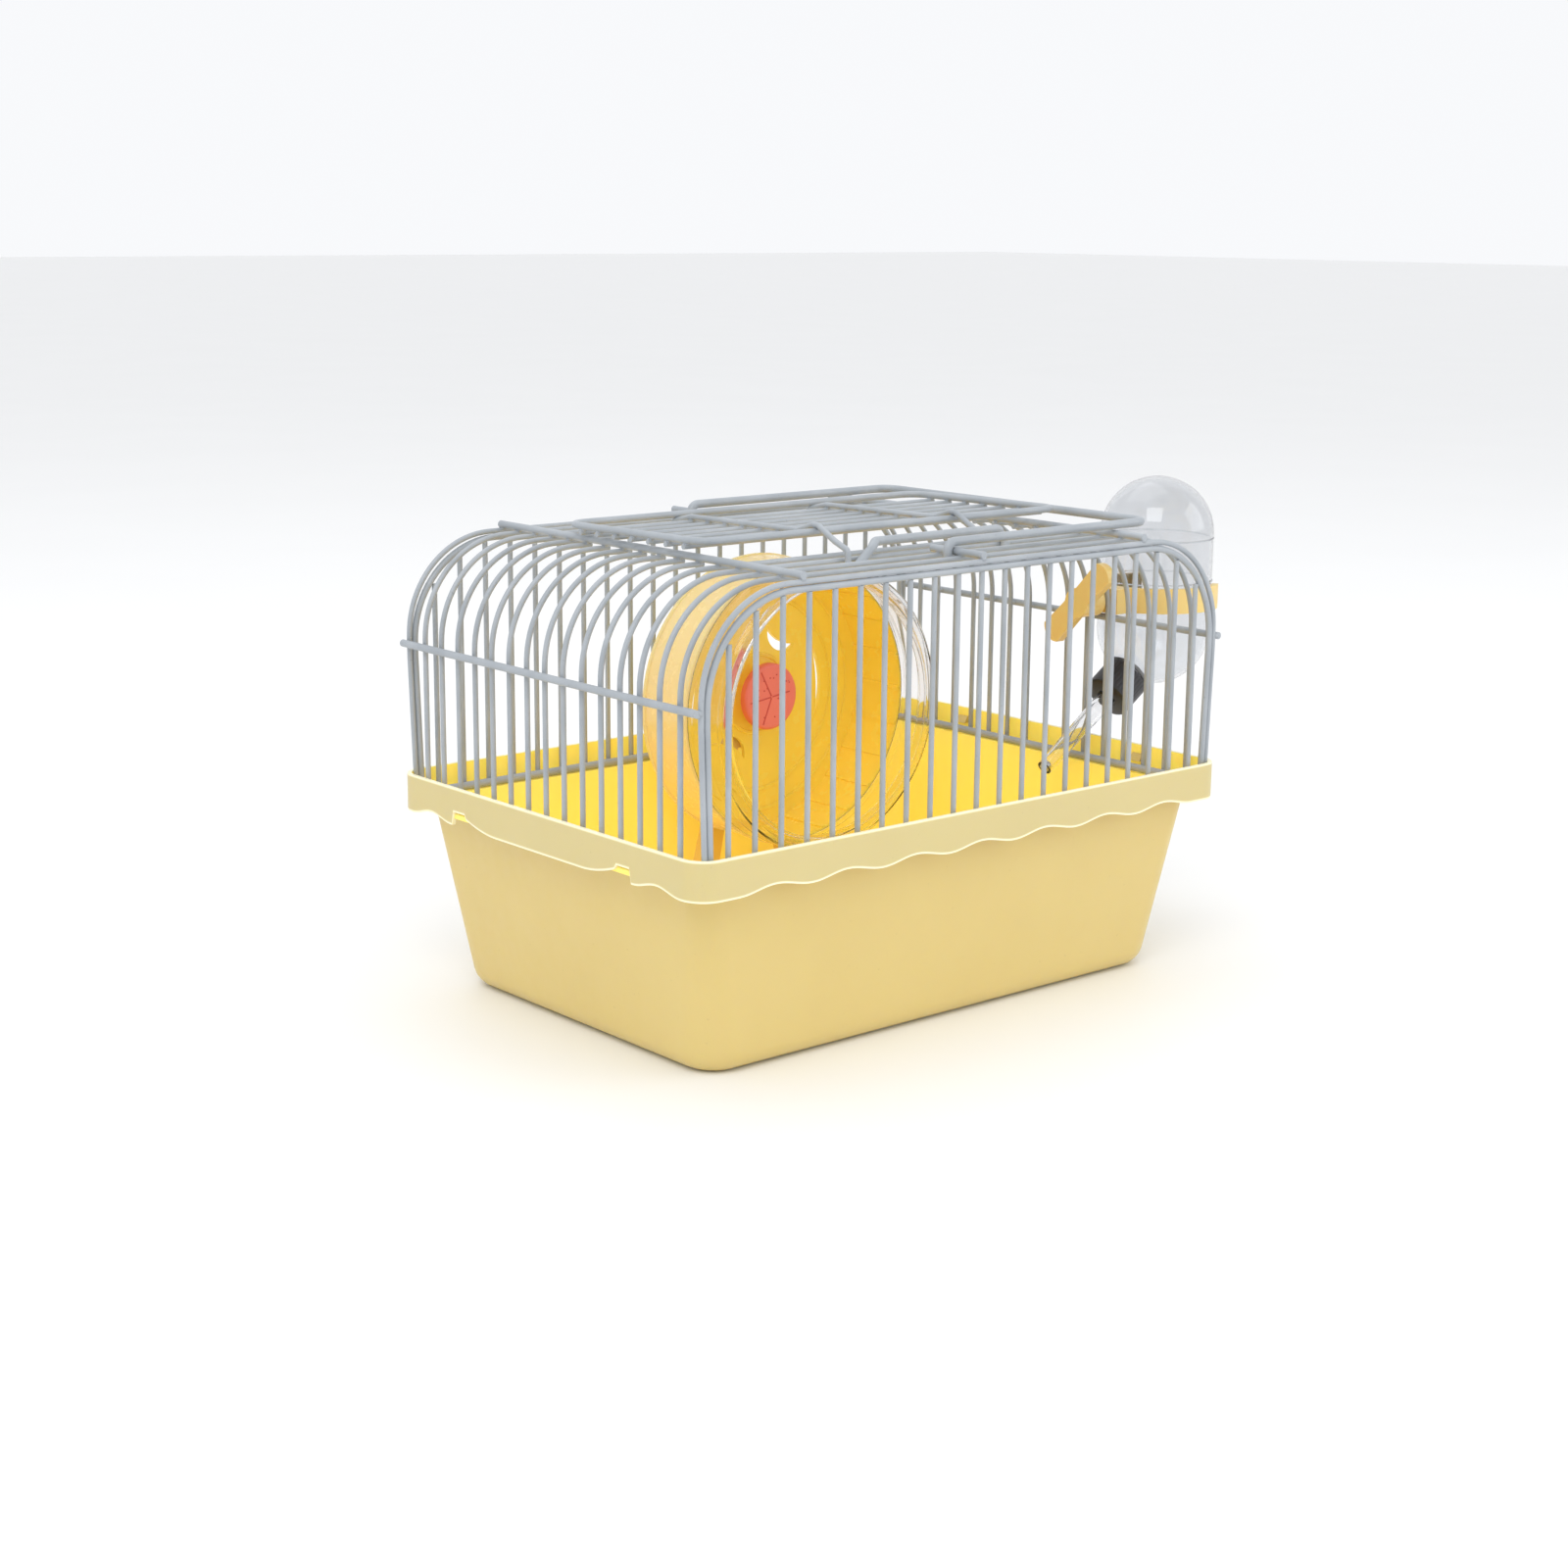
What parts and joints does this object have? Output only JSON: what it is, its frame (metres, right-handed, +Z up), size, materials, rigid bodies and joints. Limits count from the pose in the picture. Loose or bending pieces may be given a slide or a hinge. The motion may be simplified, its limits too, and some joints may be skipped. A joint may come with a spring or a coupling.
{
  "type": "hamster cage",
  "caption": "Small hamster cage: deep plastic tray, arched wire top with roof door and folding handle, running wheel on a stand, clip-on water bottle.",
  "frame": {"origin": "centre of the flat underside of the tray", "axes": "+X along the long side towards the water bottle, +Y from the front to the rear, +Z up"},
  "size_m": [0.2823, 0.165, 0.168],
  "materials": {
    "tray_plastic": "translucent moulded mustard-cream plastic, satin",
    "yellow_plastic": "opaque warm yellow moulded plastic",
    "wheel_yellow": "translucent golden-yellow moulded plastic",
    "clear_plastic": "clear moulded polystyrene",
    "coated_wire": "light blue-grey powder coat on steel wire",
    "coral_plastic": "coral moulded plastic",
    "white_plastic": "white nylon bush",
    "black_plastic": "black ribbed screw cap",
    "grey_rubber": "grey sealing washer",
    "steel": "bright steel"
  },
  "bodies": {
    "tray": {"tray": "tray_plastic", "wheel_stand": "yellow_plastic", "wheel_axle": "steel"},
    "wire_top": {"base_ring": "coated_wire", "front_arch": "coated_wire", "rear_arch": "coated_wire", "front_bars": "coated_wire", "rear_bars": "coated_wire", "front_edge_hoop": "coated_wire", "rear_edge_hoop": "coated_wire", "front_hoops": "coated_wire", "rear_hoops": "coated_wire", "left_cut_hoops": "coated_wire", "right_cut_hoops": "coated_wire", "left_cross_wire": "coated_wire", "right_cross_wire": "coated_wire", "roof_left_cross_wire": "coated_wire", "roof_right_cross_wire": "coated_wire", "front_pivot_wire": "coated_wire", "rear_pivot_wire": "coated_wire", "bottle_holder": "yellow_plastic"},
    "handle": {"handle": "coated_wire"},
    "door": {"door_frame": "coated_wire", "door_bars": "coated_wire", "door_cross_wires": "coated_wire"},
    "latch": {"latch_clip": "coated_wire"},
    "wheel": {"wheel_dish": "wheel_yellow", "wheel_cover": "clear_plastic", "hub_cap": "coral_plastic", "wheel_bush": "white_plastic"},
    "clamp": {"clamp_wing": "yellow_plastic", "clamp_stem": "yellow_plastic"},
    "bottle": {"bottle_body": "clear_plastic"},
    "cap": {"bottle_cap": "black_plastic", "cap_seal": "grey_rubber", "spout_tube": "clear_plastic"},
    "ball": {"spout_ball": "steel"}
  },
  "joints": [
    {"name": "top_lift", "type": "slide", "parent": "tray", "child": "wire_top", "axis": [0, 0, 1], "range_m": [0, 0.11]},
    {"name": "door_swing", "type": "hinge", "parent": "wire_top", "child": "door", "pos_m": [0, 0.0394, 0.15385], "axis": [-1, 0, 0], "range_deg": [0, 68]},
    {"name": "latch_turn", "type": "hinge", "parent": "wire_top", "child": "latch", "pos_m": [0, -0.04925, 0.15385], "axis": [1, 0, 0], "range_deg": [0, 60]},
    {"name": "handle_swing", "type": "hinge", "parent": "wire_top", "child": "handle", "pos_m": [0, 0, 0.1559], "axis": [0, -1, 0], "range_deg": [0, 175]},
    {"name": "wheel_spin", "type": "hinge", "parent": "tray", "child": "wheel", "pos_m": [0.0185, 0.05, 0.0895], "axis": [0, 1, 0], "continuous": true},
    {"name": "clamp_turn", "type": "hinge", "parent": "wire_top", "child": "clamp", "pos_m": [0.11, -0.0248, 0.12475], "axis": [1, 0, 0], "range_deg": [0, 90]},
    {"name": "bottle_lift", "type": "slide", "parent": "wire_top", "child": "bottle", "axis": [0, 0, 1], "range_m": [0, 0.018]},
    {"name": "cap_turn", "type": "hinge", "parent": "bottle", "child": "cap", "pos_m": [0.1249, -0.0248, 0.09135], "axis": [-0.8231, 0, -0.5678], "range_deg": [0, 360]},
    {"name": "ball_travel", "type": "slide", "parent": "cap", "child": "ball", "axis": [0.8231, 0, 0.5678], "range_m": [0, 0.0015]}
  ]
}
